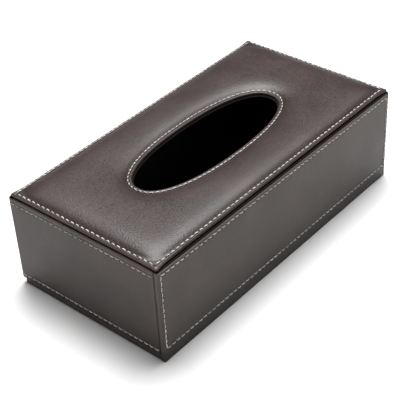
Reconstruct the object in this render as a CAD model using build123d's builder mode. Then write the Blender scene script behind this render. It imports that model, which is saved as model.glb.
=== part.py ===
"""A tissue box: a leather-covered board case with a padded top, and an end drawer for the refill.

Sizes are in millimetres. +Z is up, the long sides face -Y (front) and +Y (back), and the drawer
pulls out towards -X. The origin is on the table, under the middle of the case.
"""
import math
import os

from build123d import *

# Overall size of the case
case_length = 255.0
case_width = 132.0
wall_top = 74.0  # top of the bound wall edges, where the padded top rests
crown_rise = 3.1  # height of the padding above its stitched border

# Sheet materials
leather = 0.6
board = 2.4
lining = 0.4
base_thickness = 2.7
top_thickness = 1.1
edge_rebate = 0.5  # taken off each face of a wall board for its edge binding
binding_depth = 6.6
binding_end = 0.25  # end of a long binding behind the case's end, also over the drawer's face

# Walls
foot_gap = 0.2  # leather kept clear of the table by the felt
bead_height = 0.6  # bound board edge that shows above a side cover
bead_setback = 0.3  # behind the board's face
panel_seam = 0.2  # between the rear cover and the long covers
case_corner_radius = 1.2
cover_edge_radius = 0.35

# Base
base_setback = 0.5  # base edge behind the drawer's face
base_turn_in = 12.0
base_top_strip = 8.0
felt_clearance = 0.3
felt_corner_radius = 3.0
glide_thickness = 0.6
glide_width = 8.0
glide_inset = 16.0  # outer edge of a glide strip, from the case's face
glide_end_gap = 6.0

# Padded top
rim_end_inset = 1.2  # rim behind the case's ends and its long faces
rim_side_inset = 2.6
rim_end_flare = 0.5  # how far the folded corners stand out past the ends and the long sides
rim_side_flare = 1.6
rim_flare_run = 16.0  # length of the curve from a corner to the straight rim
rim_flare_pull = 9.6  # how far the curve leaves the straight rim before it bends out
rim_corner_radius = 1.5
rim_top_radius = 1.2
rim_under_radius = 0.6
top_turn_in = 10.0
crown_foot = 1.0  # from the border seam to the foot of the padding
crown_steps = ((0.0, 0.0), (0.37, 2.5), (0.75, 8.0), (1.0, 16.0))  # share of the rise, distance in

# Tissue opening
opening_half_length = 71.2
opening_half_width = 24.8
opening_fullness = 2.28  # 2 is a plain ellipse
oval_points = 24
opening_turn_in = 8.0
opening_edge_radius = 1.0
ring_thickness = 2.0
ring_lip = 1.0  # ring that shows inside the opening
ring_seat = 6.0

# Seams
thread_width = 0.8
thread_depth = 0.3
border_inset = 2.2  # border seam of the top, from its rim
opening_seam = 3.0  # seam round the opening, from its edge
side_seam_end = 2.6
side_seam_top = 2.7
side_seam_bottom = 10.4
drawer_seam_top = 4.0
drawer_seam_bottom = 3.6
seam_end_gap = 0.8
lining_clearance = 0.3  # lining kept back from the leather round it

# Drawer
drawer_gap = 0.7  # beside the drawer's face
drawer_top_gap = 0.8
drawer_back_gap = 0.5  # drawer face to the end of the back wall
tray_clearance = 0.6
tray_wall = 2.0
tray_floor = 2.0
tray_side_height = 38.0
tray_end_gap = 1.3  # tray end to the rear lining
tray_top_gap = 0.8  # tray end to the opening ring
drawer_travel = 190.0

# Stops and catch
stop_thickness = 4.0
stop_width = 12.0
stop_inset = 13.0  # outer edge of a stop block, from the case's face
stop_drop = 6.2
magnet_radius = 4.0
magnet_thickness = 2.0
plate_radius = 4.5
plate_thickness = 1.0
catch_spacing = 60.0
catch_height = 40.0

# Finger recess in the back wall, behind the edge of the drawer's face
recess_radius = 11.0
recess_height = 37.0

# Worked-out places
half_length = case_length / 2
half_width = case_width / 2
wall = leather + board + lining
board_face = leather + board  # depth of a board's inner face, from the case's face
panel_top = wall_top - bead_height
board_bottom = foot_gap + leather
board_top = wall_top - leather
base_board_top = board_bottom + base_thickness
base_top = base_board_top + leather
base_front = -half_length + base_setback
tray_bottom_z = base_board_top + lining + glide_thickness
face_back = -half_length + wall
back_start = face_back + drawer_back_gap
seam_plane = wall_top + leather + top_thickness + leather
top_board_bottom = wall_top + leather
top_board_top = top_board_bottom + top_thickness
drawer_top = wall_top - drawer_top_gap
tray_half_width = half_width - wall - tray_clearance
tray_inner_half = tray_half_width - tray_wall
tray_end_outer = half_length - wall - tray_end_gap
tray_end_inner = tray_end_outer - tray_wall
tray_side_top = tray_bottom_z + tray_floor + tray_side_height
tray_end_top = wall_top - ring_thickness - tray_top_gap
stop_face = tray_end_inner - drawer_travel

os.makedirs("parts", exist_ok=True)


def save(name, part):
    """Label a finished piece and write it under its own name."""
    part.label = name
    export_step(part, f"parts/{name}.step")


def block(x, y, z, mode=Mode.ADD):
    """A box between a low and a high limit along each axis."""
    with Locations((x[0], y[0], z[0])):
        Box(x[1] - x[0], y[1] - y[0], z[1] - z[0], align=(Align.MIN,) * 3, mode=mode)


def band(side, outer, inner):
    """Y limits on one side of the case, given as two depths in from its long face."""
    return tuple(sorted((side * (half_width - outer), side * (half_width - inner))))


def oval(grow):
    """The opening's outline moved outwards by grow: an ellipse made a little fuller."""
    length, width = opening_half_length + grow, opening_half_width + grow
    points = []
    for step in range(oval_points):
        angle = 2 * math.pi * step / oval_points
        across, along = math.cos(angle), math.sin(angle)
        points.append((
            math.copysign(length * abs(across) ** (2 / opening_fullness), across),
            math.copysign(width * abs(along) ** (2 / opening_fullness), along),
        ))
    with BuildSketch() as face:
        with BuildLine():
            Spline(*points, periodic=True)
        make_face()
    return face.sketch


def rim(inward):
    """The padded top's outline, moved inwards. Its edge stands out at the folded corners."""
    length = half_length - rim_end_inset - inward
    width = half_width - rim_side_inset - inward
    share = max(0, 1 - inward / border_inset)
    corner_x, corner_y = length + share * rim_end_flare, width + share * rim_side_flare
    with BuildSketch() as face:
        with BuildLine():
            for side in (-1, 1):
                run_x, run_y = length - rim_flare_run, width - rim_flare_run
                Line((-run_x, side * width), (run_x, side * width))
                Line((side * length, -run_y), (side * length, run_y))
                for end in (-1, 1):
                    corner = (end * corner_x, side * corner_y)
                    Bezier((end * run_x, side * width),
                           (end * (run_x + rim_flare_pull), side * width), corner)
                    Bezier((end * length, side * run_y),
                           (end * length, side * (run_y + rim_flare_pull)), corner)
        make_face()
        fillet(face.vertices().sort_by(lambda v: abs(v.X) + abs(v.Y))[-4:], rim_corner_radius)
    return face.sketch


def disc_pair(x, radius):
    """Two round discs side by side, on a plane across the case."""
    with BuildSketch(Plane.YZ.offset(x)) as face:
        with Locations((-catch_spacing / 2, catch_height), (catch_spacing / 2, catch_height)):
            Circle(radius)
    return face.sketch


def recess(radius, depth):
    """The finger recess's round outline, on a plane inside the back wall."""
    with BuildSketch(Plane.XZ.offset(depth - half_width)) as face:
        with Locations((back_start, recess_height)):
            Circle(radius)
    return face.sketch


# ---- Base: a covered board between the walls, on a felt pad ----
board_y = (-half_width + board_face, half_width - board_face)
base_board_x = (base_front + leather, half_length - board_face)
window_x = (base_board_x[0] + base_turn_in, base_board_x[1] - base_turn_in)
window_y = (board_y[0] + base_turn_in, board_y[1] - base_turn_in)

with BuildPart() as base_board:
    block(base_board_x, board_y, (board_bottom, base_board_top))
save("base_board", base_board.part)

# Leather over the base's front edge, turned in on top and all round underneath
with BuildPart() as base_cover:
    block((base_front, base_board_x[1]), board_y, (foot_gap, base_top))
    block(base_board_x, board_y, (board_bottom, base_board_top), Mode.SUBTRACT)
    block((base_board_x[0] + base_top_strip, base_board_x[1]), board_y,
          (base_board_top, base_top), Mode.SUBTRACT)
    block(window_x, window_y, (foot_gap, board_bottom), Mode.SUBTRACT)
save("base_cover", base_cover.part)

with BuildPart() as base_felt:
    with BuildSketch():
        with Locations(((window_x[0] + window_x[1]) / 2, 0)):
            RectangleRounded(
                window_x[1] - window_x[0] - 2 * felt_clearance,
                window_y[1] - window_y[0] - 2 * felt_clearance,
                felt_corner_radius,
            )
    extrude(amount=board_bottom)
save("base_felt", base_felt.part)

with BuildPart() as base_lining:
    block((base_board_x[0] + base_top_strip, base_board_x[1]), board_y,
          (base_board_top, base_board_top + lining))
save("base_lining", base_lining.part)

# Two slippery strips that the tray runs on
with BuildPart() as glide_strips:
    for side in (-1, 1):
        block((base_board_x[0] + base_top_strip + glide_end_gap, tray_end_outer - glide_end_gap),
              band(side, glide_inset, glide_inset + glide_width),
              (base_board_top + lining, tray_bottom_z))
save("glide_strips", glide_strips.part)


# ---- Long walls: board, stitched cover, edge binding and lining ----
def long_board(side, start):
    """A wall board on edge, with both faces rebated along its top for the binding."""
    x = (start + leather, half_length - leather)
    with BuildPart() as piece:
        block(x, band(side, leather, board_face), (board_bottom, wall_top - binding_depth))
        block(x, band(side, leather + edge_rebate, board_face - edge_rebate),
              (wall_top - binding_depth, board_top))
        if side > 0:
            extrude(recess(recess_radius + leather, wall), amount=-wall, mode=Mode.SUBTRACT)
    return piece.part


def seam_frame(side, start):
    """The stitched rectangle on a long cover, a strip of thread sunk in its face, broken at the recess."""
    low_x, high_x = start + side_seam_end, half_length - side_seam_end
    low_z, high_z = foot_gap + side_seam_bottom, panel_top - side_seam_top
    plane = Plane.XZ.offset(-side * half_width)
    with BuildPart() as piece:
        with BuildSketch(plane):
            with Locations(((low_x + high_x) / 2, (low_z + high_z) / 2)):
                Rectangle(high_x - low_x + thread_width, high_z - low_z + thread_width)
                Rectangle(high_x - low_x - thread_width, high_z - low_z - thread_width,
                          mode=Mode.SUBTRACT)
        extrude(amount=side * thread_depth)
        if side > 0:
            extrude(recess(recess_radius + leather + seam_end_gap, thread_depth),
                    amount=-thread_depth, mode=Mode.SUBTRACT)
    return piece.part


def long_cover(side, start, thread):
    """Leather glued over a wall board: its face, both ends and its lower edge."""
    with BuildPart() as piece:
        block((start, half_length), band(side, 0, board_face), (foot_gap, panel_top))
        corner = piece.edges().filter_by(Axis.Z).sort_by(Axis.Y, reverse=side > 0)[:2]
        fillet(corner, case_corner_radius)
        top_and_foot = piece.faces().sort_by(Axis.Y, reverse=side > 0)[0].edges().filter_by(Axis.X)
        fillet(top_and_foot, cover_edge_radius)
        block((start + leather, half_length - leather), band(side, leather, board_face),
              (board_bottom, panel_top), Mode.SUBTRACT)
        if side > 0:
            extrude(recess(recess_radius + leather, board_face), amount=-board_face)
            split(bisect_by=Plane.YZ.offset(start))
            extrude(recess(recess_radius, wall), amount=-wall, mode=Mode.SUBTRACT)
        add(thread, mode=Mode.SUBTRACT)
    return piece.part


def long_binding(side, start):
    """Leather folded over the top edge of a wall board, seen as a bead above the cover."""
    x = (start + leather, half_length - leather)
    with BuildPart() as piece:
        block((binding_end - half_length, half_length - binding_end),
              band(side, leather + bead_setback, wall), (panel_top, wall_top))
        fillet(piece.faces().sort_by(Axis.Z)[-1].edges().filter_by(Axis.X), edge_rebate)
        block(x, band(side, leather, board_face), (wall_top - binding_depth, panel_top))
        block(x, band(side, leather + edge_rebate, board_face - edge_rebate),
              (wall_top - binding_depth, board_top), Mode.SUBTRACT)
    return piece.part


def long_lining(side, start):
    """Black flock paper on the inner face of a long wall."""
    with BuildPart() as piece:
        block((start, half_length - wall), band(side, board_face, wall), (base_top, panel_top))
        if side > 0:
            extrude(recess(recess_radius, wall), amount=-wall, mode=Mode.SUBTRACT)
    return piece.part


for name, side, start in (("front", -1, -half_length), ("back", 1, back_start)):
    thread = seam_frame(side, start)
    save(f"{name}_board", long_board(side, start))
    save(f"{name}_cover", long_cover(side, start, thread))
    save(f"{name}_thread", thread)
    save(f"{name}_edge_binding", long_binding(side, start))
    save(f"{name}_lining", long_lining(side, start))

# ---- Rear wall, between the long walls ----
rear_x = (half_length - board_face, half_length - leather)
rear_cover_y = (board_y[0] + panel_seam, board_y[1] - panel_seam)
inner_y = (-half_width + wall, half_width - wall)

with BuildPart() as rear_board:
    block(rear_x, board_y, (board_bottom, wall_top - binding_depth))
    block((rear_x[0] + edge_rebate, rear_x[1] - edge_rebate), inner_y,
          (wall_top - binding_depth, board_top))
    extrude(disc_pair(rear_x[0], magnet_radius), amount=magnet_thickness - lining,
            mode=Mode.SUBTRACT)
save("rear_board", rear_board.part)

with BuildPart() as rear_thread:
    with BuildSketch(Plane.YZ.offset(half_length)):
        for height in (foot_gap + side_seam_bottom, panel_top - side_seam_top):
            with Locations((0, height)):
                Rectangle(rear_cover_y[1] - rear_cover_y[0] - 2 * seam_end_gap, thread_width)
    extrude(amount=-thread_depth)
save("rear_thread", rear_thread.part)

with BuildPart() as rear_cover:
    block((rear_x[0], half_length), rear_cover_y, (foot_gap, panel_top))
    fillet(rear_cover.faces().sort_by(Axis.X)[-1].edges().filter_by(Axis.Y), cover_edge_radius)
    block(rear_x, rear_cover_y, (board_bottom, panel_top), Mode.SUBTRACT)
    add(rear_thread.part, mode=Mode.SUBTRACT)
save("rear_cover", rear_cover.part)

with BuildPart() as rear_edge_binding:
    block((half_length - wall, rear_x[1] - bead_setback), inner_y, (panel_top, wall_top))
    fillet(rear_edge_binding.faces().sort_by(Axis.Z)[-1].edges().filter_by(Axis.Y), edge_rebate)
    block(rear_x, inner_y, (wall_top - binding_depth, panel_top))
    block((rear_x[0] + edge_rebate, rear_x[1] - edge_rebate), inner_y,
          (wall_top - binding_depth, board_top), Mode.SUBTRACT)
save("rear_edge_binding", rear_edge_binding.part)

with BuildPart() as rear_lining:
    block((half_length - wall, rear_x[0]), inner_y, (base_top, panel_top))
    extrude(disc_pair(half_length - wall, magnet_radius), amount=lining, mode=Mode.SUBTRACT)
save("rear_lining", rear_lining.part)

with BuildPart() as case_magnets:
    extrude(disc_pair(half_length - wall, magnet_radius), amount=magnet_thickness)
save("case_magnets", case_magnets.part)

# ---- Padded top: board, foam and a leather cover turned in at the rim and at the opening ----
with BuildPart() as top_board:
    with BuildSketch(Plane.XY.offset(top_board_bottom)):
        add(rim(leather))
        add(oval(leather), mode=Mode.SUBTRACT)
    extrude(amount=top_thickness)
save("top_board", top_board.part)


def slope(outline, foot, bottom):
    """A form whose outline is taken further and further from a seam as it rises."""
    with BuildPart() as form:
        for share, distance in crown_steps:
            with BuildSketch(Plane.XY.offset(bottom + share * crown_rise)):
                add(outline(foot + crown_foot + distance))
        loft()
    return form.part


def crown(bottom):
    """The padding's crowned form, rising from its seams at the border and round the opening."""
    with BuildPart() as pad:
        add(slope(rim, border_inset, bottom))
        add(slope(oval, opening_seam, bottom), mode=Mode.SUBTRACT)
    return pad.part


top_foam = crown(top_board_top)
save("top_foam", top_foam)


with BuildPart() as top_border_thread:
    with BuildSketch(Plane.XY.offset(seam_plane - thread_depth)):
        add(rim(border_inset - thread_width / 2))
        add(rim(border_inset + thread_width / 2), mode=Mode.SUBTRACT)
    extrude(amount=thread_depth)
save("top_border_thread", top_border_thread.part)

with BuildPart() as opening_thread:
    with BuildSketch(Plane.XY.offset(seam_plane - thread_depth)):
        add(oval(opening_seam + thread_width / 2))
        add(oval(opening_seam - thread_width / 2), mode=Mode.SUBTRACT)
    extrude(amount=thread_depth)
save("opening_thread", opening_thread.part)

with BuildPart() as top_cover:
    with BuildSketch(Plane.XY.offset(wall_top)):
        add(rim(0))
        add(oval(0), mode=Mode.SUBTRACT)
    extrude(amount=seam_plane - wall_top)
    fillet(top_cover.faces().sort_by(Axis.Z)[-1].outer_wire().edges(), rim_top_radius)
    fillet(top_cover.faces().sort_by(Axis.Z)[-1].inner_wires()[0].edges(), opening_edge_radius)
    fillet(top_cover.faces().sort_by(Axis.Z)[0].outer_wire().edges(), rim_under_radius)
    add(crown(seam_plane))
    add(top_board.part, mode=Mode.SUBTRACT)
    add(top_foam, mode=Mode.SUBTRACT)
    with BuildSketch(Plane.XY.offset(wall_top)):
        add(rim(top_turn_in))
        add(oval(opening_turn_in), mode=Mode.SUBTRACT)
    extrude(amount=leather, mode=Mode.SUBTRACT)
    add(top_border_thread.part, mode=Mode.SUBTRACT)
    add(opening_thread.part, mode=Mode.SUBTRACT)
save("top_cover", top_cover.part)

with BuildPart() as top_lining:
    with BuildSketch(Plane.XY.offset(top_board_bottom - lining)):
        add(rim(top_turn_in + lining_clearance))
        add(oval(opening_turn_in + lining_clearance), mode=Mode.SUBTRACT)
    extrude(amount=lining)
save("top_lining", top_lining.part)

# A covered ring under the opening, which stiffens it and shows as a second edge inside
with BuildPart() as opening_ring:
    with BuildSketch(Plane.XY.offset(wall_top - ring_thickness)):
        add(oval(ring_seat))
        add(oval(-ring_lip), mode=Mode.SUBTRACT)
    extrude(amount=ring_thickness)
save("opening_ring", opening_ring.part)

# Two blocks under the top that catch the tray's end when the drawer is out
with BuildPart() as stop_blocks:
    for side in (-1, 1):
        block((stop_face - stop_thickness, stop_face),
              band(side, stop_inset, stop_inset + stop_width),
              (top_board_bottom - lining - stop_drop, top_board_bottom - lining))
save("stop_blocks", stop_blocks.part)

# ---- Drawer face: a covered board that stops beside the front wall and laps the back wall ----
face_y = (-half_width + wall + drawer_gap, half_width)
face_z = (tray_bottom_z, drawer_top)
face_board_x = (-half_length + leather, -half_length + board_face)
face_board_y = (face_y[0] + leather, face_y[1] - leather)

with BuildPart() as drawer_face_board:
    block(face_board_x, face_board_y, (face_z[0] + leather, face_z[1] - leather))
save("drawer_face_board", drawer_face_board.part)

face_seam_y = (face_y[0] + seam_end_gap, face_y[1] - case_corner_radius)

with BuildPart() as drawer_face_thread:
    with BuildSketch(Plane.YZ.offset(-half_length)):
        for height in (face_z[0] + drawer_seam_bottom, face_z[1] - drawer_seam_top):
            with Locations((sum(face_seam_y) / 2, height)):
                Rectangle(face_seam_y[1] - face_seam_y[0], thread_width)
    extrude(amount=thread_depth)
save("drawer_face_thread", drawer_face_thread.part)

with BuildPart() as drawer_face_cover:
    block((-half_length, face_board_x[1]), face_y, face_z)
    outer_face = drawer_face_cover.faces().sort_by(Axis.X)[0]
    fillet(outer_face.edges().sort_by(Axis.Y)[-1], case_corner_radius)
    outer_face = drawer_face_cover.faces().sort_by(Axis.X)[0]
    fillet(outer_face.edges().filter_by(Axis.Y), cover_edge_radius)
    block(face_board_x, face_board_y, (face_z[0] + leather, face_z[1] - leather), Mode.SUBTRACT)
    add(drawer_face_thread.part, mode=Mode.SUBTRACT)
save("drawer_face_cover", drawer_face_cover.part)

with BuildPart() as drawer_face_lining:
    block((face_board_x[1], face_back),
          (face_y[0] + lining_clearance, face_y[1] - lining_clearance),
          (face_z[0] + lining_clearance, face_z[1] - lining_clearance))
save("drawer_face_lining", drawer_face_lining.part)

# ---- Tray behind the drawer face ----
tray_floor_top = tray_bottom_z + tray_floor

with BuildPart() as tray_floor_board:
    block((face_back, tray_end_outer), (-tray_half_width, tray_half_width),
          (tray_bottom_z, tray_floor_top))
save("tray_floor", tray_floor_board.part)

for name, side in (("tray_front_side", -1), ("tray_back_side", 1)):
    with BuildPart() as tray_side:
        limits = sorted((side * tray_inner_half, side * tray_half_width))
        block((face_back, tray_end_outer), limits, (tray_floor_top, tray_side_top))
    save(name, tray_side.part)

with BuildPart() as tray_end:
    block((tray_end_inner, tray_end_outer), (-tray_inner_half, tray_inner_half),
          (tray_floor_top, tray_end_top))
save("tray_end", tray_end.part)

with BuildPart() as tray_lining:
    block((face_back, tray_end_inner), (-tray_inner_half, tray_inner_half),
          (tray_floor_top, tray_floor_top + lining))
save("tray_lining", tray_lining.part)

with BuildPart() as catch_plates:
    extrude(disc_pair(tray_end_outer, plate_radius), amount=plate_thickness)
save("catch_plates", catch_plates.part)
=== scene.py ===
"""A leather-covered tissue box with a padded top and an end drawer, put together piece by piece."""
import math

import bmesh
import bpy
import numpy as np
from mathutils import Matrix, Vector


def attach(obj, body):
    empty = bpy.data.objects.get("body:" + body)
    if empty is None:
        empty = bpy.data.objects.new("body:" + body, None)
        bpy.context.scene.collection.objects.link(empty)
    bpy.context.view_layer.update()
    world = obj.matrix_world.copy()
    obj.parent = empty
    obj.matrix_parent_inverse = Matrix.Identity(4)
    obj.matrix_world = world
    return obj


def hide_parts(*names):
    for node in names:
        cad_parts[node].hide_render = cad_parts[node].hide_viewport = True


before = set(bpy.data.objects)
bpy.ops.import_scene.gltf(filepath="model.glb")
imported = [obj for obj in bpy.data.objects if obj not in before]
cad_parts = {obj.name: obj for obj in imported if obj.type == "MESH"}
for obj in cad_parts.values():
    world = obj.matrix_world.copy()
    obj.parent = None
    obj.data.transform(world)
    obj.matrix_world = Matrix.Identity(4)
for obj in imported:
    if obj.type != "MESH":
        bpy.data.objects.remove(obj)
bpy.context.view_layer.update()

# ======== Base ========
# A dyed board, covered in leather round its underside and over its edge at the drawer's end.
# A felt pad is glued inside the turned-in leather, and flock paper lies on top of the board
# under the two slippery strips that carry the tray.
mm = 0.001  # the box's sizes are in millimetres here, and in metres in Blender


def painted(name, roughness):
    """A new material with its node tree, its shader and its place on the object."""
    material = bpy.data.materials.new(name)
    material.use_nodes = True
    tree = material.node_tree
    shader = tree.nodes["Principled BSDF"]
    shader.inputs["Roughness"].default_value = roughness
    return material, tree, shader, tree.nodes.new("ShaderNodeTexCoord").outputs["Object"]


def joined(tree, kind, links, **settings):
    """Add one node, set it up and join its inputs."""
    node = tree.nodes.new(kind)
    for key, value in settings.items():
        setattr(node, key, value)
    for socket, source in links.items():
        if isinstance(source, bpy.types.NodeSocket):
            tree.links.new(source, node.inputs[socket])
        else:
            node.inputs[socket].default_value = source
    return node


def shades(tree, amount, stops):
    """A colour that runs through the stops as the amount goes up."""
    node = joined(tree, "ShaderNodeValToRGB", {"Fac": amount})
    ramp = node.color_ramp
    while len(ramp.elements) < len(stops):
        ramp.elements.new(0.5)
    for element, (at, colour) in zip(ramp.elements, stops):
        element.position = at
        element.color = (*colour, 1)
    return node.outputs["Color"]


def leather(name, dark, light, pebble, pebble_depth, roughness, shine):
    """Grained leather: pebbles and faint blotches, paler where the wear attribute is above 0, for wear
    and painted highlight, and darker where it is below 0, with painted shade.
    """
    material, tree, shader, place = painted(name, roughness)
    drift_scale, blotch_scale, speck_scale = 700.0, 34.0, 900.0  # per metre
    blotch_share, speck_share = 0.55, 0.45
    wander = 0.0007  # how far the pebbles stray from an even spread, in metres
    low_tone, high_tone = 0.39, 0.61  # the mixed noise seldom leaves this range
    creased_dark, pale_wear_and_highlight, painted_shade_dark = 0.5, 1.9, 0.25  # times the dark or light colour
    drift = joined(tree, "ShaderNodeTexNoise",
                   {"Vector": place, "Scale": drift_scale, "Detail": 2.0})
    warped = joined(tree, "ShaderNodeMixRGB", {"Fac": wander, 1: place, 2: drift.outputs["Color"]},
                    blend_type="ADD")
    grain = joined(tree, "ShaderNodeTexVoronoi",
                   {"Vector": warped.outputs[0], "Scale": 1 / (pebble * mm)}, feature="SMOOTH_F1")
    blotch = joined(tree, "ShaderNodeTexNoise",
                    {"Vector": place, "Scale": blotch_scale, "Detail": 3.0})
    speck = joined(tree, "ShaderNodeTexNoise",
                   {"Vector": place, "Scale": speck_scale, "Detail": 3.0})
    tone = joined(tree, "ShaderNodeMath", {0: blotch.outputs["Fac"], 1: blotch_share},
                  operation="MULTIPLY")
    tone = joined(tree, "ShaderNodeMath",
                  {0: speck.outputs["Fac"], 1: speck_share, 2: tone.outputs[0]},
                  operation="MULTIPLY_ADD")
    ground = shades(tree, tone.outputs[0], ((low_tone, dark), (high_tone, light)))
    crease = joined(tree, "ShaderNodeMapRange",
                    {"Value": grain.outputs["Distance"], "From Min": 0.3, "From Max": 0.8,
                     "To Min": 0.0, "To Max": 0.75})
    creased = joined(tree, "ShaderNodeMixRGB",
                     {"Fac": crease.outputs[0], 1: ground,
                      2: (*(creased_dark * value for value in dark), 1)})
    # Point attribute: above 0 is wear and painted highlight, below 0 is painted shade
    wear_and_painted_light = joined(tree, "ShaderNodeAttribute", {}, attribute_name="wear_and_painted_light")
    patchy = joined(tree, "ShaderNodeMath", {0: wear_and_painted_light.outputs["Fac"], 1: tone.outputs[0]},
                    operation="MULTIPLY")
    # Paler with wear and painted highlight
    worn = joined(tree, "ShaderNodeMixRGB",
                  {"Fac": patchy.outputs[0], 1: creased.outputs[0],
                   2: (*(pale_wear_and_highlight * value for value in light), 1)})
    # Painted shade: darker where the attribute is below 0
    painted_shade_amount = joined(tree, "ShaderNodeMapRange",
                   {"Value": wear_and_painted_light.outputs["Fac"], "From Min": 0.0, "From Max": -1.0})
    painted_shaded = joined(tree, "ShaderNodeMixRGB",
                    {"Fac": painted_shade_amount.outputs[0], 1: worn.outputs[0],
                     2: (*(painted_shade_dark * value for value in dark), 1)})
    tree.links.new(painted_shaded.outputs[0], shader.inputs["Base Color"])
    gloss = joined(tree, "ShaderNodeMapRange",
                   {"Value": speck.outputs["Fac"], "From Min": 0.3, "From Max": 0.7,
                    "To Min": roughness - 0.05, "To Max": roughness + 0.07})
    tree.links.new(gloss.outputs[0], shader.inputs["Roughness"])
    waves = joined(tree, "ShaderNodeBump",
                   {"Height": blotch.outputs["Fac"], "Strength": 0.25, "Distance": 0.5 * mm})
    pebbles = joined(tree, "ShaderNodeBump",
                     {"Height": grain.outputs["Distance"], "Normal": waves.outputs[0],
                      "Strength": 0.8, "Distance": pebble_depth * mm}, invert=True)
    tree.links.new(pebbles.outputs[0], shader.inputs["Normal"])
    shader.inputs["Specular IOR Level"].default_value = shine
    return material


def fibrous(name, dark, light, fibre_size, bump, sheen, roughness=1.0):
    """A matt finish of short tangled fibres, for flock, felt, board and foam."""
    material, tree, shader, place = painted(name, roughness)
    fibre = joined(tree, "ShaderNodeTexNoise",
                   {"Vector": place, "Scale": 1 / (fibre_size * mm), "Detail": 4.0,
                    "Roughness": 0.65})
    patch = joined(tree, "ShaderNodeTexNoise",
                   {"Vector": place, "Scale": 0.05 / (fibre_size * mm), "Detail": 2.0})
    mixed = joined(tree, "ShaderNodeMath",
                   {0: fibre.outputs["Fac"], 1: 0.6, 2: patch.outputs["Fac"]},
                   operation="MULTIPLY_ADD")
    tree.links.new(shades(tree, mixed.outputs[0], ((0.6, dark), (1.0, light))),
                   shader.inputs["Base Color"])
    rough = joined(tree, "ShaderNodeMapRange",
                   {"Value": patch.outputs["Fac"], "To Min": roughness - 0.15, "To Max": roughness})
    tree.links.new(rough.outputs[0], shader.inputs["Roughness"])
    raised = joined(tree, "ShaderNodeBump",
                    {"Height": fibre.outputs["Fac"], "Strength": 0.7, "Distance": bump * mm})
    tree.links.new(raised.outputs[0], shader.inputs["Normal"])
    shader.inputs["Sheen Weight"].default_value = sheen
    shader.inputs["Specular IOR Level"].default_value = 0.2
    return material


def dress(material, *names):
    """Give pieces of the frame their finish."""
    for name in names:
        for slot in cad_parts[name].material_slots:
            slot.material = material


side_leather = leather("side_leather", (0.031, 0.020, 0.016), (0.059, 0.041, 0.034),
                       pebble=0.70, pebble_depth=0.06, roughness=0.42, shine=0.33)
grey_board = fibrous("grey_board", (0.20, 0.15, 0.10), (0.40, 0.31, 0.22), 0.4, 0.05, 0.0)
dyed_board = fibrous("dyed_board", (0.020, 0.015, 0.012), (0.050, 0.038, 0.030), 0.4, 0.05, 0.0)
black_flock = fibrous("black_flock", (0.004, 0.004, 0.004), (0.016, 0.015, 0.015), 0.3, 0.1, 0.1)
black_felt = fibrous("black_felt", (0.009, 0.009, 0.010), (0.034, 0.033, 0.034), 0.7, 0.3, 0.3)
tray_strip = fibrous("tray_strip", (0.56, 0.56, 0.53), (0.74, 0.74, 0.71), 2.0, 0.02, 0.0, 0.45)

dress(dyed_board, "base_board")
dress(side_leather, "base_cover")
dress(black_felt, "base_felt")
dress(black_flock, "base_lining")
dress(tray_strip, "glide_strips")

# ======== Long walls: stitched leather over each wall board ========
# Boards on edge, with leather glued round their ends and lower edge and sewn in a rectangle,
# black flock paper inside, and leather folded over the top edge as a narrow bead.
half_length, half_width = 127.5, 66.0  # of the case
skin = 0.6  # leather thickness
wall_depth = 3.0  # from a wall's face to its inner side
panel_foot, panel_top = 0.2, 73.4
foot_levels, dip_foot = (1.2, 3.0, 5.0, 7.0), 8.0  # rows of points below the lower seam's dip
wall_top = 74.0  # the top of the bead
back_start = -123.6  # the back wall stops behind the drawer's face
corner_radius, fold_radius = 1.2, 0.35
stitch = 4.45  # from needle hole to needle hole
wall_slack = 0.16  # how far a hand-laid stitch strays sideways
long_seam_z = (10.6, 70.7)
seam_end = 2.6  # from a wall's end to its upright seam
seam_steps = (-1.5, -1.0, -0.65, -0.4, -0.2, 0.0, 0.2, 0.4, 0.65, 1.0, 1.5)  # across a seam's dip
recess_radius, recess_height, recess_roll = 11.0, 37.0, 1.0  # the finger recess in the back wall
recess_seam = 12.3  # from the recess's middle to the last needle hole on either side
wall_gap_depth = 2.3  # painted shade beside the drawer's gap lies deeper than this on a wall's end

dress(grey_board, "front_board", "back_board")
dress(black_flock, "front_lining", "back_lining")


def needle_holes(start, end, pitch):
    """Needle holes along a straight row, a whole number of stitches apart."""
    start, end = np.array(start, float), np.array(end, float)
    count = round(np.linalg.norm(end - start) / pitch)
    return start + (end - start) * np.linspace(0, 1, count + 1)[:, None]


def pulled_in(points, rows, groove=0.28, hole=0.30):
    """How deep the thread pulls the leather in: a groove on each row, deeper at the holes."""
    groove_reach, hole_reach = 0.62, 0.5
    depth = np.zeros(len(points))
    for row in rows:
        start, run = row[:-1], row[1:] - row[:-1]
        offset = points[:, None] - start[None]
        share = np.clip((offset * run).sum(2) / (run * run).sum(1), 0, 1)
        gap = np.linalg.norm(offset - share[..., None] * run, axis=2).min(1)
        far = np.linalg.norm(points[:, None] - row[None], axis=2).min(1)
        depth = np.maximum(depth, groove * np.exp(-(gap / groove_reach) ** 2)
                           + hole * np.exp(-(far / hole_reach) ** 2))
    return depth


def across(low, high, holes, lines):
    """Places across a panel: four to a stitch along its rows, and closer beside crossing rows."""
    clear_of_line, clear_of_end = 1.8, 0.05
    steps = np.linspace(holes[0], holes[-1], 4 * (len(holes) - 1) + 1)
    beside = [line + offset for line in lines for offset in seam_steps]
    spread = [at for at in steps if all(abs(at - line) > clear_of_line for line in lines)]
    return sorted(at for at in (*spread, *beside)
                  if low + clear_of_end < at < high - clear_of_end)


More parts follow.
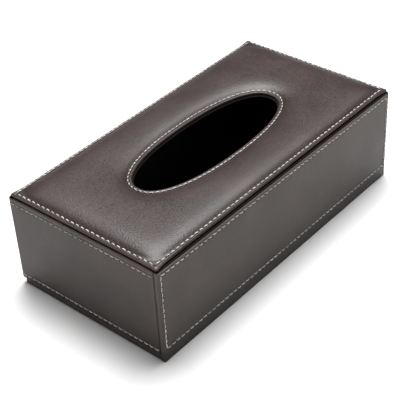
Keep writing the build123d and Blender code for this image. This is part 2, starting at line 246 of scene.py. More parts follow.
def turned(at, inward, radius, deep):
    """(place, depth) where leather rolls from the back of a board's edge round to its face.

    On a deep edge, close points near the back let the painted shade there end in a sharp line.
    """
    shade_start, shade_end, steps = 0.35, 0.6, 6
    roll = [(at, deep)]
    if deep > 2 * radius:
        roll += [(at, deep - shade_start), (at, deep - shade_end), (at, (deep + radius) / 2)]
    for step in range(steps + 1):
        angle = math.pi / 2 * step / steps
        roll.append((at + inward * radius * (1 - math.cos(angle)),
                     radius * (1 - math.sin(angle))))
    return roll


def net(rows, columns, first=0):
    """Four-sided faces over rows and columns of points."""
    spots = first + np.arange(rows * columns).reshape(rows, columns)
    corners = (spots[:-1, :-1], spots[:-1, 1:], spots[1:, 1:], spots[1:, :-1])
    return np.stack(corners, -1).reshape(-1, 4).tolist()


def shaped(name, points, faces, material, body, stands_for, wear_and_painted_light=None, under=None):
    """One closed, smoothed piece in place of its solid in the frame.

    The argument after stands_for makes each point paler above 0, for wear and painted highlight, and
    darker below 0, with painted shade. under is 1 where no one sees the piece:
    there, faces that lie level with each other become one.
    """
    weld, level_angle, sharp_angle = 0.002 * mm, math.radians(0.6), math.radians(50)
    hidden_above = 0.99
    mesh = bpy.data.meshes.new(name)
    mesh.from_pydata((np.asarray(points) * mm).tolist(), [], faces)
    for label, values in (("wear_and_painted_light", wear_and_painted_light), ("under", under)):
        if values is not None:
            mesh.attributes.new(label, "FLOAT", "POINT").data.foreach_set(
                "value", np.asarray(values, np.float32))
    work = bmesh.new()
    work.from_mesh(mesh)
    bmesh.ops.remove_doubles(work, verts=work.verts, dist=weld)
    if under is not None:
        layer = work.verts.layers.float["under"]
        hidden = [v for v in work.verts if v[layer] > hidden_above]
        edges = [e for e in work.edges if all(v[layer] > hidden_above for v in e.verts)]
        bmesh.ops.dissolve_limit(work, angle_limit=level_angle, use_dissolve_boundaries=False,
                                 verts=hidden, edges=edges, delimit=set())
        work.verts.layers.float.remove(work.verts.layers.float["under"])
    bmesh.ops.recalc_face_normals(work, faces=work.faces)
    work.to_mesh(mesh)
    work.free()
    mesh.materials.append(material)
    mesh.polygons.foreach_set("use_smooth", [True] * len(mesh.polygons))
    mesh.set_sharp_from_angle(angle=sharp_angle)
    piece = bpy.data.objects.new(name, mesh)
    bpy.context.scene.collection.objects.link(piece)
    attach(piece, body)
    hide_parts(*stands_for)
    return piece


def panel(name, columns, rows, wraps, put, seams, body, node, gap_depth=wall_depth):
    """A leather cover: a face rolled over its board's edges, pulled in along its seams.

    columns and rows are (place, depth) runs across and up the face. wraps says whether the
    leather turns round the low and the high end. put places (across, up, depth) on the case.
    Painted shade darkens the leather towards the foot, below the lowest seam, in the seams' grooves
    and, deeper than gap_depth, on the low end, which the drawer's gap runs beside. Its edges are
    paler, partly wear and partly painted highlight.
    """
    face_start = 0.3  # leather this deep no longer shows the face's swell, waves or seams
    swell, swell_start, swell_run, wave, wave_start = 0.16, 3.5, 5.0, 0.05, 12
    foot_shade, below_seam_shade, gap_shade, groove_shade, edge_wear_and_highlight = 0.6, 0.3, 0.9, 1.3, 0.75
    along, side_depth = np.array(columns).T
    up, foot_depth = np.array(rows).T
    a, b = np.meshgrid(along, up)
    depth = np.minimum(side_depth[None] + foot_depth[:, None], wall_depth)
    flat = np.stack([a.ravel(), b.ravel()], 1)
    on_face = np.clip(1 - depth.ravel() / face_start, 0, 1)
    edge = np.minimum(np.minimum(a - along[0], along[-1] - a), np.minimum(b - up[0], up[-1] - b))
    edge = edge.ravel()
    full = swell * (1 - np.exp(-np.maximum(edge - swell_start, 0) / swell_run))
    ripple = wave * (np.sin(a / 17 + 1.3 * np.sin(b / 13)) + np.sin(b / 11 + a / 37)).ravel()
    dent = pulled_in(flat, seams) - full - ripple * np.clip(edge / wave_start, 0, 1)
    outer = put(flat[:, 0], flat[:, 1], depth.ravel() + dent * on_face)
    low = along[0] + (skin if wraps[0] else 0)
    high = along[-1] - (skin if wraps[1] else 0)
    top = up[-1] - (skin if rows[-1][1] > skin else 0)
    inner = put(np.clip(flat[:, 0], low, high), np.clip(flat[:, 1], up[0] + skin, top),
                np.maximum(depth.ravel(), skin))
    count, (height, length) = len(flat), a.shape
    faces = net(height, length) + net(height, length, count)
    spots = np.arange(count).reshape(height, length)
    rim = np.concatenate([spots[0], spots[1:, -1], spots[-1, -2::-1], spots[-2:0:-1, 0]])
    faces += [[int(p), int(q), int(q) + count, int(p) + count]
              for p, q in zip(rim, np.roll(rim, -1))]
    lowest_seam = min(row[:, 1].min() for row in seams)
    above_foot = flat[:, 1] - up[0]
    below_seam = np.clip((lowest_seam - 0.6 - flat[:, 1]) / 1.2, 0, 1)
    beside_gap = (flat[:, 0] < along[0] + 1) & (depth.ravel() > gap_depth)
    # Painted shade towards the foot, below the lowest seam, beside the drawer's gap and in the seams'
    # grooves
    painted_shade = foot_shade * np.exp(-above_foot / 20) + below_seam_shade * below_seam
    painted_shade += gap_shade * beside_gap + groove_shade * pulled_in(flat, seams)
    # Paler edges, partly wear and partly painted highlight
    wear_and_highlight = edge_wear_and_highlight * np.exp(-np.maximum(edge, 0) / 1.1) * np.clip(above_foot / 12, 0, 1)
    wear_and_painted_light = wear_and_highlight - painted_shade
    shaped(name, np.concatenate([outer, inner]), faces, side_leather, body, [node],
           np.concatenate([wear_and_painted_light, wear_and_painted_light]), np.concatenate([np.zeros(count), np.ones(count)]))


def twisted_thread(name):
    """Waxed sewing thread, off-white with a fine hairy lustre and a little dirt."""
    material, tree, shader, place = painted(name, 0.62)
    hair = joined(tree, "ShaderNodeTexNoise", {"Vector": place, "Scale": 5200.0, "Detail": 2.0})
    worn = joined(tree, "ShaderNodeTexNoise", {"Vector": place, "Scale": 130.0, "Detail": 3.0})
    mixed = joined(tree, "ShaderNodeMath",
                   {0: hair.outputs["Fac"], 1: 0.45, 2: worn.outputs["Fac"]},
                   operation="MULTIPLY_ADD")
    tree.links.new(shades(tree, mixed.outputs[0],
                          ((0.5, (0.38, 0.35, 0.31)), (0.8, (0.72, 0.69, 0.64)),
                           (1.0, (0.80, 0.78, 0.73)))),
                   shader.inputs["Base Color"])
    rough = joined(tree, "ShaderNodeMapRange",
                   {"Value": worn.outputs["Fac"], "To Min": 0.5, "To Max": 0.78})
    tree.links.new(rough.outputs[0], shader.inputs["Roughness"])
    raised = joined(tree, "ShaderNodeBump",
                    {"Height": hair.outputs["Fac"], "Strength": 0.6, "Distance": 0.05 * mm})
    tree.links.new(raised.outputs[0], shader.inputs["Normal"])
    shader.inputs["Sheen Weight"].default_value = 0.25
    return material


cream_thread = twisted_thread("cream_thread")


def sewn(name, rows, outward, body, node, thread_radius=0.34, slack=0.0, showing=0.82):
    """A row's thread: a slightly slanting, twisted stitch from each needle hole to the next.

    showing is a stitch's length as a share of the way from hole to hole.
    """
    rings, sides = 9, 8
    slant, sunk, arch = 0.30, 0.42, 0.62
    twists, strand_bulge, flattened = 1.3, 0.13, 0.9
    start = np.concatenate([row[:-1] for row in rows])
    run = np.concatenate([row[1:] - row[:-1] for row in rows])
    outward = np.array(outward, float)
    length = np.linalg.norm(run, axis=1, keepdims=True)
    ahead = run / length
    beside = np.cross(ahead, outward)
    share = np.linspace(0, 1, rings)[None, :, None]
    from_middle = 2 * share - 1
    stray = slack * np.sin(2.1 * np.arange(len(start)))[:, None, None]
    lean = slant * (share - 0.5) + stray * (1 - from_middle ** 2)
    middle = (start[:, None] + run[:, None] * (0.5 + showing * (share - 0.5))
              + outward * (-sunk + arch * (1 - np.abs(from_middle) ** 3.0))
              + beside[:, None] * lean)
    angle = np.linspace(0, 2 * math.pi, sides, endpoint=False)[None, None]
    twist = 2 * twists * np.pi * share[..., 0][..., None]
    taper = 1 - 0.45 * np.abs(from_middle) ** 5
    radius = thread_radius * taper * (1 + strand_bulge * np.cos(2 * (angle - twist)))
    points = (middle[:, :, None]
              + (radius * np.cos(angle))[..., None] * beside[:, None, None]
              + (radius * flattened * np.sin(angle))[..., None] * outward)
    faces = []
    for first in range(0, len(start) * rings * sides, rings * sides):
        ring = first + np.arange(rings * sides).reshape(rings, sides)
        onward = np.roll(ring, -1, 1)
        faces += np.stack([ring[:-1], onward[:-1], onward[1:], ring[1:]], -1).reshape(-1, 4).tolist()
        faces += [ring[0][::-1].tolist(), ring[-1].tolist()]
    return shaped(name, points.reshape(-1, 3), faces, cream_thread, body, [node])


for wall, side, start in (("front", -1, -half_length), ("back", 1, back_start)):
    seam_x = (start + seam_end, half_length - seam_end)
    (left, right), (low, high) = seam_x, long_seam_z
    frame_rows = [needle_holes((left, low), (right, low), stitch),
                  needle_holes((left, high), (right, high), stitch),
                  needle_holes((right, low), (right, high), stitch)]
    if side < 0:
        frame_rows.append(needle_holes((left, low), (left, high), stitch))
    else:  # the left row stops either side of the finger recess
        frame_rows += [needle_holes((left, low), (left, recess_height - recess_seam), stitch),
                       needle_holes((left, recess_height + recess_seam), (left, high), stitch)]

    def put(a, b, depth, side=side):
        return np.stack([a, side * (half_width - depth), b], 1)

    columns = (turned(start, 1, corner_radius, wall_depth)
               + [(at, 0.0) for at in across(start + corner_radius, half_length - corner_radius,
                                             frame_rows[0][:, 0], seam_x)]
               + turned(half_length, -1, corner_radius, wall_depth)[::-1])
    rows = (turned(panel_foot, 1, fold_radius, wall_depth)
            + [(at, 0.0) for at in foot_levels]
            + [(at, 0.0) for at in across(dip_foot, panel_top - fold_radius,
                                          frame_rows[2][:, 1], long_seam_z)]
            + turned(panel_top, -1, fold_radius, skin)[::-1])
    panel(f"{wall}_leather", columns, rows, (True, True), put, frame_rows, "case",
          f"{wall}_cover", wall_gap_depth)
    sewn(f"{wall}_stitches",
         [np.stack([row[:, 0], np.full(len(row), side * half_width), row[:, 1]], 1)
          for row in frame_rows], (0, side, 0), "case", f"{wall}_thread", slack=wall_slack)


def cut_recess(piece, radius):
    """Cut the finger recess's round edge through the back leather, beside the drawer's face."""
    count, inside, outside = 96, half_width - 5, half_width + 2
    ring = np.linspace(0, 2 * math.pi, count, endpoint=False)
    disc = np.stack([back_start + radius * np.cos(ring), recess_height + radius * np.sin(ring)], 1)
    ends = [np.insert(disc, 1, y, axis=1) for y in (inside, outside)]
    sides = [[k, count + k, count + (k + 1) % count, (k + 1) % count] for k in range(count)]
    mesh = bpy.data.meshes.new("recess_cutter")
    mesh.from_pydata((np.concatenate(ends) * mm).tolist(), [],
                     sides + [list(range(count)), list(range(count, 2 * count))[::-1]])
    cutter = bpy.data.objects.new("recess_cutter", mesh)
    bpy.context.scene.collection.objects.link(cutter)
    cut = piece.modifiers.new("recess", "BOOLEAN")
    cut.object, cut.operation, cut.solver = cutter, "DIFFERENCE", "EXACT"
    shape = bpy.data.meshes.new_from_object(piece.evaluated_get(bpy.context.evaluated_depsgraph_get()))
    piece.modifiers.remove(cut)
    piece.data = shape
    bpy.data.objects.remove(cutter)


def capped(outline_count, station_count):
    """Faces of a closed bar: an outline's points in turn, each at every station along it."""
    closing = (outline_count - 1) * station_count
    faces = net(outline_count, station_count)
    faces += [[closing + k, closing + k + 1, k + 1, k] for k in range(station_count - 1)]
    faces += [[k * station_count for k in range(outline_count)],
              [(k + 1) * station_count - 1 for k in range(outline_count)][::-1]]
    return faces


cut_recess(bpy.data.objects["back_leather"], recess_radius + recess_roll)
# (distance from the recess's middle, depth): rolled in from the face and glued through the board
recess_run = [(recess_radius + recess_roll * (1 - math.sin(angle)),
               recess_roll * (1 - math.cos(angle))) for angle in np.linspace(0, math.pi / 2, 7)]
recess_run += [(recess_radius, wall_depth), (recess_radius + skin, wall_depth),
               (recess_radius + skin, recess_roll), (recess_radius + recess_roll, skin)]
turn = np.linspace(-math.pi / 2, math.pi / 2, 65)
recess_points = np.concatenate([
    np.stack([back_start + reach * np.cos(turn), np.full(len(turn), half_width - depth),
              recess_height + reach * np.sin(turn)], 1) for reach, depth in recess_run])
shaped("finger_recess", recess_points, capped(len(recess_run), len(turn)), side_leather,
       "case", ["back_cover"])

# The folded strip over each wall's top edge, in darker, near-black leather as painted shade in the
# groove under the rim, with a painted highlight on its bead's crest
painted_shade_leather = leather("painted_shade_leather", (0.005, 0.0035, 0.003), (0.011, 0.007, 0.006),
                       pebble=0.5, pebble_depth=0.03, roughness=0.7, shine=0.08)
strip_foot, strip_short, bead_middle, bead_radius = 67.4, 0.25, 1.5, 0.40
outer_leaf, inner_leaf, fold_thickness = (0.62, 1.15), (2.0, 3.0), 0.55  # leaves from the face in


def edge_strip(name, place, ends, node):
    """A leather strip over a board's edge: down both faces, with a bead along its outer side.

    run is its outline: (depth behind the wall's face, height).
    """
    stations = 60
    run = [(2.4, strip_foot), (inner_leaf[0], strip_foot),
           (inner_leaf[0], wall_top - fold_thickness), (outer_leaf[1], wall_top - fold_thickness),
           (outer_leaf[1], strip_foot), (outer_leaf[0], strip_foot),
           (outer_leaf[0], 72.2), (1.0, 72.9)]
    before_bead = len(run)
    run += [(bead_middle - bead_radius * math.cos(angle),
             wall_top - bead_radius * (1 - math.sin(angle)))
            for angle in np.linspace(0, math.pi, 9)]
    run += [(2.0, 73.47), (2.9, 73.5), (2.95, 73.97), (inner_leaf[1], 73.97),
            (inner_leaf[1], strip_foot)]
    along = np.linspace(ends[0], ends[1], stations)
    points = np.concatenate([place(along, np.full(stations, depth), np.full(stations, up))
                             for depth, up in run])
    wear_and_painted_light = np.zeros(len(run))
    # Painted highlight along the crest of the bead
    wear_and_painted_light[before_bead + 1:before_bead + 6] = 1.0  # the crest of the bead
    shaped(name, points, capped(len(run), stations), painted_shade_leather, "case", [node],
           np.repeat(wear_and_painted_light, stations))


for wall, side in (("front", -1), ("back", 1)):
    edge_strip(f"{wall}_edge_strip",
               lambda a, depth, up, side=side: np.stack([a, side * (half_width - depth), up], 1),
               (strip_short - half_length, half_length - strip_short), f"{wall}_edge_binding")

# ======== Rear wall ========
# A board between the long walls, its leather turned under the foot and sewn in two rows,
# with a bead of folded leather on top and two round magnets let in from inside.
rear_half, rear_seam_half, rear_fold = 62.8, 62.0, 0.3
rear_rows = [needle_holes((-rear_seam_half, at), (rear_seam_half, at), stitch) for at in long_seam_z]


def on_rear(a, b, depth):
    """Places on the rear wall."""
    return np.stack([half_length - depth, a, b], 1)


def between(low, high, gap):
    """Evenly spaced places on a plain part of a face."""
    return [(at, 0.0) for at in np.linspace(low, high, round((high - low) / gap) + 1)]


def two_row_levels(low, high):
    """Rows of points up a panel with two seams: close beside each seam, wide apart elsewhere."""
    clear, gap = 2.5, 3.0
    return ([(low + offset, 0.0) for offset in seam_steps]
            + between(low + clear, high - clear, gap)
            + [(high + offset, 0.0) for offset in seam_steps])


panel("rear_leather",
      turned(-rear_half, 1, rear_fold, skin)
      + [(at, 0.0) for at in across(-rear_half + rear_fold, rear_half - rear_fold,
                                    rear_rows[0][:, 0], ())]
      + turned(rear_half, -1, rear_fold, skin)[::-1],
      turned(panel_foot, 1, fold_radius, wall_depth) + between(1.2, 8.6, 1.8)
      + two_row_levels(*long_seam_z)[:-1] + turned(panel_top, -1, fold_radius, skin)[::-1],
      (False, False), on_rear, rear_rows, "case", "rear_cover")
sewn("rear_stitches",
     [np.stack([np.full(len(row), half_length), row[:, 0], row[:, 1]], 1) for row in rear_rows],
     (1, 0, 0), "case", "rear_thread")
edge_strip("rear_edge_strip", lambda a, depth, up: on_rear(a, up, depth),
           (wall_depth - half_width, half_width - wall_depth), "rear_edge_binding")


def metal(name, colour, roughness, scratch_stretch):
    """Plated steel with fine scratches and slightly uneven polish."""
    material, tree, shader, place = painted(name, roughness)
    stretched = joined(tree, "ShaderNodeMapping",
                       {"Vector": place, "Scale": (400.0, 400.0, 400.0 * scratch_stretch)})
    scratch = joined(tree, "ShaderNodeTexNoise",
                     {"Vector": stretched.outputs[0], "Scale": 6.0, "Detail": 5.0})
    tree.links.new(shades(tree, scratch.outputs["Fac"],
                          ((0.3, tuple(0.8 * value for value in colour)), (0.7, colour))),
                   shader.inputs["Base Color"])
    rough = joined(tree, "ShaderNodeMapRange",
                   {"Value": scratch.outputs["Fac"], "To Min": roughness, "To Max": roughness + 0.2})
    tree.links.new(rough.outputs[0], shader.inputs["Roughness"])
    raised = joined(tree, "ShaderNodeBump",
                    {"Height": scratch.outputs["Fac"], "Strength": 0.3, "Distance": 0.02 * mm})
    tree.links.new(raised.outputs[0], shader.inputs["Normal"])
    shader.inputs["Metallic"].default_value = 1.0
    return material


dress(grey_board, "rear_board")
dress(black_flock, "rear_lining")
dress(metal("bright_nickel", (0.62, 0.60, 0.56), 0.2, 1.0), "case_magnets")

# ======== Padded top ========
# A thin board with foam on it, under one skin of pebbled leather that is turned in all round
# the rim and through the oval opening, and sewn down along the rim and round the opening.
top_leather = leather("top_leather", (0.030, 0.019, 0.018), (0.057, 0.039, 0.037),
                      pebble=0.85, pebble_depth=0.12, roughness=0.36, shine=0.38)
rim_end_inset, rim_side_inset = 1.2, 2.6  # rim, in from the case's ends and its long faces
border_inset = 2.2  # border seam, in from the rim
end_flare, side_flare = 0.5, 1.6  # the folded corners stand out past the sides
flare_run, flare_power = 16.0, 2.2  # over this length, along this curve
rim_corner, seam_corner = 1.5, 1.0
corner_steps = 8  # from side to side round a corner
turn_in = 10.0  # how far the leather reaches in under the rim
board_foot, board_top, seam_plane = 74.6, 75.7, 76.3
rise, softness = 3.3, 5.5  # of the padding, and how slowly it rises from its seams
oval_length, oval_width = 71.2, 24.8  # half the opening's length and width
fullness = 2.28  # of the opening's outline, where 2 would be an ellipse
oval_seam, oval_turn_in = 3.0, 8.0  # out from the opening
oval_stitch = 4.0
foot = 1.0  # from a seam to the foot of the padding
border_counts = (55, 27)  # stitches along a long and a short side
seam_length = half_length - rim_end_inset - border_inset  # half the border's length and width
seam_width = half_width - rim_side_inset - border_inset
rim_roll, under_roll = 1.3, 1.0  # radius of the rim's upper and lower round
rim_middle, under_middle, opening_middle = 75.1, 75.0, 75.05  # height of their centres


def side_shares(stitches, creased):
    """Places along one side of the top, from -1 to 1: four to a stitch, and close where creased."""
    places = list(np.linspace(-1, 1, 4 * stitches + 1))
    if creased:
        close = 0.006 * np.array([0.7, 1.4, 2.1, 2.8, 4.0])
        places += list(close - 1) + list(1 - close)
    return np.array(sorted(places))


def outline(inward):
    """The top's outline, in from its rim: tight corners that stand out past the sides."""
    share = max(0.0, 1 - inward / border_inset)
    length = half_length - rim_end_inset - inward + share * end_flare
    width = half_width - rim_side_inset - inward + share * side_flare
    corner = seam_corner + share * (rim_corner - seam_corner)
    turns = np.linspace(0, math.pi / 2, corner_steps + 1)[1:-1]
    long_side = side_shares(border_counts[0], False) * (length - corner)
    short_side = side_shares(border_counts[1], True) * (width - corner)
    parts = []
    for quarter, (run, half, other) in enumerate(((long_side, length, width),
                                                  (short_side, width, length)) * 2):
        x, y = run, np.full(len(run), -other)
        corner_x = half - corner + corner * np.sin(turns)
        corner_y = -other + corner * (1 - np.cos(turns))
        edge = np.stack([np.concatenate([x, corner_x]), np.concatenate([y, corner_y])], 1)
        angle = quarter * math.pi / 2
        spin = np.array([[math.cos(angle), math.sin(angle)], [-math.sin(angle), math.cos(angle)]])
        parts.append(edge @ spin)
    points = np.concatenate(parts)
    x, y = points[:, 0].copy(), points[:, 1].copy()
    to_end = np.clip((np.abs(x) - length + flare_run) / flare_run, 0, 1)
    to_side = np.clip((np.abs(y) - width + flare_run) / flare_run, 0, 1)
    points[:, 0] -= share * end_flare * x / length * (1 - to_side ** flare_power)
    points[:, 1] -= share * side_flare * y / width * (1 - to_end ** flare_power)
    return points


spoke = outline(border_inset) / (half_length, half_width)
spoke /= ((np.abs(spoke) ** fullness).sum(1) ** (1 / fullness))[:, None]


def oval(grow):
    """The opening's outline, moved outwards."""
    return spoke * (oval_length + grow, oval_width + grow)


def evenly(points, count):
    """Points at equal steps round a closed line."""
    closed = np.concatenate([points, points[:1]])
    reach = np.concatenate([[0], np.cumsum(np.linalg.norm(np.diff(closed, axis=0), axis=1))])
    at = np.linspace(0, reach[-1], count + 1)
    return np.stack([np.interp(at, reach, closed[:, k]) for k in (0, 1)], 1)


border_line = outline(border_inset)
border_holes = []
first = 0
for quarter in range(4):
    stitches = border_counts[quarter % 2]
    shares = side_shares(stitches, quarter % 2 == 1)
    side_line = border_line[first:first + len(shares)]
    picks = [int(np.argmin(np.abs(shares - at))) for at in np.linspace(-1, 1, stitches + 1)]
    border_holes.append(side_line[picks])
    first += len(shares) + corner_steps - 1
oval_line = evenly(oval(oval_seam), 720)
oval_holes = evenly(oval(oval_seam), round(np.linalg.norm(
    np.diff(oval_line, axis=0), axis=1).sum() / oval_stitch))


def past_opening(x, y):
    """Over 1 outside the opening's seam."""
    return (x / (oval_length + oval_seam)) ** fullness + (y / (oval_width + oval_seam)) ** fullness


def padding(points):
    """Height of the stuffed leather above its seams."""
    x, y = np.abs(points[:, 0]), np.abs(points[:, 1])
    from_end, from_side = seam_length - x, seam_width - y
    blend = 4.0
    border = -blend * np.log(np.exp(-from_end / blend) + np.exp(-from_side / blend)) - foot
    opening = np.linalg.norm(points[:, None] - oval_line[None, ::2], axis=2).min(1) - foot
    opening = np.where(past_opening(x, y) > 1, opening, 0)
    swell = ((1 - np.exp(-np.maximum(border, 0) / softness))
             * (1 - np.exp(-np.maximum(opening, 0) / softness)))
    uneven = 0.10 * np.sin(x / 23 + 0.7 + points[:, 1] / 31) * np.sin(points[:, 1] / 19 + 0.4)
    return swell * (rise + uneven)


def middle_ring(share):
    """A ring on the padding's broad part, between the rim's last ring and the opening's first."""
    return outline(8.2) * (1 - share) + oval(8.6) * share


def top_rings():
    """The top leather's closed run of rings: from under the rim, over the top, back inside.

    Each is (outline, height, 1 on the inner side that no one sees).
    """
    rings = [(outline(at), wall_top, 0) for at in (turn_in, 4.5, under_roll)]
    for angle in np.radians((25, 45, 65, 80)):
        rings.append((outline(under_roll - under_roll * math.sin(angle)),
                      under_middle - under_roll * math.cos(angle), 0))
    for angle in np.radians((0, 15, 30, 45, 60, 75, 90)):
        rings.append((outline(rim_roll - rim_roll * math.cos(angle)),
                      rim_middle + rim_roll * math.sin(angle), 0))
    for at in (1.5, 1.7, 1.9, 2.05, 2.2, 2.35, 2.5, 2.7, 3.0, 3.4, 4.0, 4.8, 5.8, 7.0):
        rings.append((outline(at), seam_plane, 0))
    rings += [(middle_ring(share), seam_plane, 0) for share in np.linspace(0, 1, 15)[1:-1]]
    for at in (8.6, 7.4, 6.4, 5.5, 4.8, 4.2, 3.8, 3.5, 3.3, 3.15, 3.0, 2.85, 2.7, 2.5, 2.2, 1.9):
        rings.append((oval(at), seam_plane, 0))
    for angle in np.radians((90, 72, 54, 36, 18, 0)):
        rings.append((oval(rim_roll - rim_roll * math.cos(angle)),
                      opening_middle + rim_roll * math.sin(angle), 0))
    rings += [(oval(0.0), board_foot, 0), (oval(0.12), 74.15, 0), (oval(0.5), wall_top, 0),
              (oval(oval_turn_in), wall_top, 0), (oval(oval_turn_in), board_foot, 1),
              (oval(skin), board_foot, 1), (oval(skin), board_top, 1)]
    rings += [(oval(at), board_top, 1) for at in (3.0, 4.0, 5.5, 7.5)]
    rings += [(middle_ring(share), board_top, 1) for share in np.linspace(1, 0, 7)]
    rings += [(outline(at), board_top, 1) for at in (6.4, 4.8, 3.2, 2.2, skin)]
    rings += [(outline(skin), board_foot, 1), (outline(turn_in), board_foot, 1)]
    return rings


def looped(ring_count, around):
    """Four-sided faces over closed rings, from each to the next and from the last to the first."""
    spots = np.arange(ring_count * around).reshape(ring_count, around)
    onward = np.roll(spots, -1, 1)
    corners = (spots, onward, np.roll(onward, -1, 0), np.roll(spots, -1, 0))
    return np.stack(corners, -1).reshape(-1, 4).tolist()


rings = top_rings()
around = len(spoke)
flat = np.concatenate([ring for ring, _, _ in rings])
level = np.repeat([z for _, z, _ in rings], around)
under = np.repeat([float(side) for _, _, side in rings], around)
stuffed = (level >= board_top - 1e-6) & ~((under < 0.5) & (level < seam_plane - 1e-6))
height = level + np.where(stuffed, padding(flat), 0)
shoulder, unshaded_from = 75.2, 75.6  # rim heights: paler above the first, partly wear and partly painted highlight, and painted shade below the second
outer = under < 0.5
upper = outer & (level > shoulder)
thread_rows = [*border_holes, oval_holes]
height[upper] -= pulled_in(flat[upper], thread_rows)
# A small fold at each corner, on the short side, from the last needle hole down the rim
pleat_depth, pleat_width, pleat_side = 0.35, 0.35, seam_width - seam_corner
near_end = np.clip((np.abs(flat[:, 0]) - (half_length - 4.2)) / 1.2, 0, 1)
from_pleat = np.abs(flat[:, 1]) - pleat_side - pleat_width
pleat = np.exp(-(from_pleat / pleat_width) ** 2) * near_end * outer
height -= pleat_depth * pleat * (level > 75.5)
flat[:, 0] -= pleat_depth * pleat * np.sign(flat[:, 0]) * (level < 76.5) * (level > 74.2)
# Where two seams meet, the thread pulls the leather down no further than the board
height[upper] = np.maximum(height[upper], np.minimum(level[upper] - 0.35, board_top + 0.1))
points = np.column_stack([flat, height])
# Paler along the rim, partly wear and partly painted highlight; painted shade below it, in the
# stitches' groove and in the padding's valleys
from_rim = np.minimum(half_length - np.abs(flat[:, 0]), half_width - np.abs(flat[:, 1]))
wear_and_painted_light = np.where(level > shoulder, 0.8 * np.exp(-np.maximum(from_rim - 1.2, 0) / 1.0),
                  np.where(from_rim < 8, level - unshaded_from, 0))
# Painted shade in the stitches' groove
wear_and_painted_light[upper] -= 1.5 * pulled_in(flat[upper], thread_rows)
x, y = np.abs(flat).T
within = (x < seam_length) & (y < seam_width) & (past_opening(x, y) > 1)
# Painted shade in the padding's valleys beside its seams
wear_and_painted_light -= 0.5 * within * outer * np.exp(-2 * padding(flat) / rise)
padded_top = shaped("padded_top", points, looped(len(rings), around), top_leather,
                    "case", ["top_cover"], wear_and_painted_light, under)

foam_rings = ([(outline(at), 1) for at in (3.2, 4.8, 6.4)]
              + [(middle_ring(share), 1) for share in np.linspace(0, 1, 7)]
              + [(oval(at), 1) for at in (7.5, 5.5, 4.0)]
              + [(oval(4.0), 0), (outline(3.2), 0)])
foam_flat = np.concatenate([ring for ring, _ in foam_rings])
stuffing = np.repeat([float(raised) for _, raised in foam_rings], around)
foam_points = np.column_stack([foam_flat, board_top + stuffing * padding(foam_flat)])
grey_foam = fibrous("grey_foam", (0.34, 0.34, 0.32), (0.56, 0.56, 0.53), 0.5, 0.15, 0.0)
foam_pad = shaped("foam_pad", foam_points, looped(len(foam_rings), around), grey_foam,
                  "case", ["top_foam"], under=stuffing)

up, top_showing = (0, 0, 1), 0.68
sewn("border_stitches",
     [np.column_stack([row, np.full(len(row), seam_plane)]) for row in border_holes],
     up, "case", "top_border_thread", thread_radius=0.36, slack=0.1, showing=top_showing)
sewn("opening_stitches", [np.column_stack([oval_holes, np.full(len(oval_holes), seam_plane)])],
     up, "case", "opening_thread", thread_radius=0.33, showing=top_showing)

dress(grey_board, "top_board")
dress(black_flock, "top_lining", "stop_blocks")

# ======== Ring under the opening ========
# A card ring covered in leather and glued under the opening, where its rounded lip shows as a second
# edge inside the padded one. Its leather is painted near black for shade, with a painted highlight on
# the lip towards the far end.
lip, ring_top, ring_foot, ring_seat = 1.0, 74.0, 72.0, 6.0  # lip inside, seat outside the opening
lip_start = 2.0
half_thick = (ring_top - ring_foot) / 2
ring_run = [(ring_seat, ring_top), (lip_start, ring_top)]
for angle in np.radians((90, 70, 50, 30, 10, -10, -30, -50, -70, -90)):
    ring_run.append((-lip + half_thick * (1 - math.cos(angle)),
                     ring_foot + half_thick * (1 + math.sin(angle))))
ring_run += [(lip_start, ring_foot), (ring_seat, ring_foot)]
ring_around = (around + 1) // 2  # every second point is enough here
ring_points = np.concatenate([np.column_stack([oval(at)[::2], np.full(ring_around, z)])
                              for at, z in ring_run])
# Painted highlight on the lip, growing towards the far end
far_lip_highlight = 1.4 * np.clip(ring_points[:, 0] / oval_length - 0.3, 0, 1)
shaped("opening_lip", ring_points, looped(len(ring_run), ring_around), painted_shade_leather,
       "case", ["opening_ring"], far_lip_highlight)

# ======== Drawer ========
# A leather-covered face sewn in two rows, glued to a shallow tray of black-papered board that
# slides on the base strips, with two steel catch plates on the tray's end.
face_y, face_z = (-62.3, 66.0), (4.5, 73.2)
face_seam_y, face_seams = (-61.5, 64.8), (8.1, 69.2)
gap_roll, foot_roll, head_roll = 0.6, 0.7, 0.6  # radius of the face's edges
below_levels, above_levels, level_gap = (5.5, 6.3), (71.2, 72.0), 0.8  # points past the seams
face_gap_depth = 0.01  # painted shade lies on the whole of the edge beside the front wall
drawer_rows = [needle_holes((face_seam_y[0], at), (face_seam_y[1], at), stitch) for at in face_seams]


def on_drawer(a, b, depth):
    """Places on the drawer's face."""
    return np.stack([depth - half_length, a, b], 1)


panel("drawer_leather",
      turned(face_y[0], 1, gap_roll, wall_depth)
      + [(at, 0.0) for at in across(face_y[0] + gap_roll, face_y[1] - corner_radius,
                                    drawer_rows[0][:, 0], ())]
      + turned(face_y[1], -1, corner_radius, wall_depth)[::-1],
      turned(face_z[0], 1, foot_roll, wall_depth) + between(*below_levels, level_gap)
      + two_row_levels(*face_seams) + between(*above_levels, level_gap)
      + turned(face_z[1], -1, head_roll, wall_depth)[::-1],
      (True, True), on_drawer, drawer_rows, "drawer", "drawer_face_cover", face_gap_depth)
sewn("drawer_stitches",
     [np.stack([np.full(len(row), -half_length), row[:, 0], row[:, 1]], 1) for row in drawer_rows],
     (-1, 0, 0), "drawer", "drawer_face_thread")

black_paper = fibrous("black_paper", (0.018, 0.017, 0.017), (0.038, 0.036, 0.035),
                      0.9, 0.04, 0.0, 0.8)
dress(grey_board, "drawer_face_board")
dress(black_flock, "drawer_face_lining", "tray_lining")
dress(black_paper, "tray_floor", "tray_front_side", "tray_back_side", "tray_end")
dress(metal("brushed_steel", (0.52, 0.52, 0.52), 0.3, 0.08), "catch_plates")

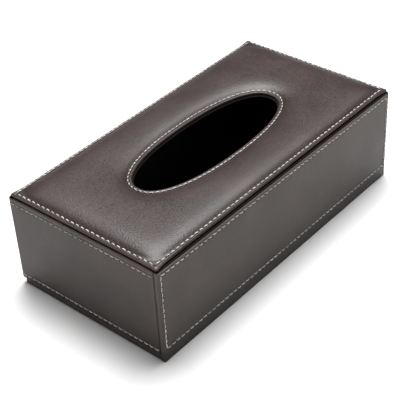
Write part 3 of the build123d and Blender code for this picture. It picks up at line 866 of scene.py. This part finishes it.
# ======== Table, light and camera ========
# A plain white table, one broad soft light overhead and two soft panels beside the box, all in
# metres, and the camera, whose distance and target are in millimetres.


def table_top():
    """A wide white table top with a faint mottle."""
    material, tree, shader, place = painted("white_table", 0.9)
    mottle = joined(tree, "ShaderNodeTexNoise", {"Vector": place, "Scale": 3.0})
    tree.links.new(shades(tree, mottle.outputs["Fac"],
                          ((0.3, (0.90, 0.90, 0.90)), (0.7, (0.93, 0.93, 0.93)))),
                   shader.inputs["Base Color"])
    shader.inputs["Specular IOR Level"].default_value = 0.0
    mesh = bpy.data.meshes.new("table")
    reach = 6.0
    mesh.from_pydata([(-reach, -reach, 0), (reach, -reach, 0), (reach, reach, 0), (-reach, reach, 0)],
                     [], [(0, 1, 2, 3)])
    mesh.materials.append(material)
    table = bpy.data.objects.new("table", mesh)
    bpy.context.scene.collection.objects.link(table)


table_top()


def soft_light(name, place, aim, size, power):
    """A square soft panel that faces a point."""
    data = bpy.data.lights.new(name, "AREA")
    data.shape, data.size, data.energy = "SQUARE", size, power
    light = bpy.data.objects.new(name, data)
    bpy.context.scene.collection.objects.link(light)
    light.location = place
    light.rotation_euler = (Vector(aim) - Vector(place)).to_track_quat("-Z", "Y").to_euler()


middle = (0.0, 0.0, 0.04)
soft_light("overhead", (0.30, 0.21, 1.3), middle, 0.95, 36.0)
soft_light("left_panel", (-1.4, 0.9, 0.7), middle, 1.0, 2.0)
soft_light("right_panel", (1.2, -1.1, 0.7), middle, 1.0, 2.0)

world = bpy.data.worlds.new("room")
world.use_nodes = True
background = world.node_tree.nodes["Background"]
background.inputs["Color"].default_value = (1, 1, 1, 1)
room_light, seen_white = 0.16, 1.0  # on the box, and behind it
looked_at = world.node_tree.nodes.new("ShaderNodeLightPath").outputs["Is Camera Ray"]
room = joined(world.node_tree, "ShaderNodeMapRange",
              {"Value": looked_at, "To Min": room_light, "To Max": seen_white})
world.node_tree.links.new(room.outputs[0], background.inputs["Strength"])
bpy.context.scene.world = world

azimuth, elevation, roll = (math.radians(angle) for angle in (-47.947, 36.792, -3.438))
distance, target = 790.949, Vector((-19.326, -6.278, 37.5))
focal_pixels, picture_pixels = 1129.188, 400
away = Vector((math.sin(azimuth) * math.cos(elevation), -math.cos(azimuth) * math.cos(elevation),
               math.sin(elevation)))
level_right = (-away).cross(Vector((0, 0, 1))).normalized()
level_up = level_right.cross(-away)
right = level_right * math.cos(roll) + level_up * math.sin(roll)
upright = level_up * math.cos(roll) - level_right * math.sin(roll)
lens = bpy.data.cameras.new("camera")
lens.sensor_width = 36.0
lens.lens = focal_pixels * lens.sensor_width / picture_pixels
lens.clip_start, lens.clip_end = 0.01, 50.0
camera = bpy.data.objects.new("camera", lens)
bpy.context.scene.collection.objects.link(camera)
camera.matrix_world = (Matrix.Translation((target + away * distance) * mm)
                       @ Matrix((right, upright, away)).transposed().to_4x4())
bpy.context.scene.camera = camera
bpy.context.scene.view_settings.view_transform = "Standard"
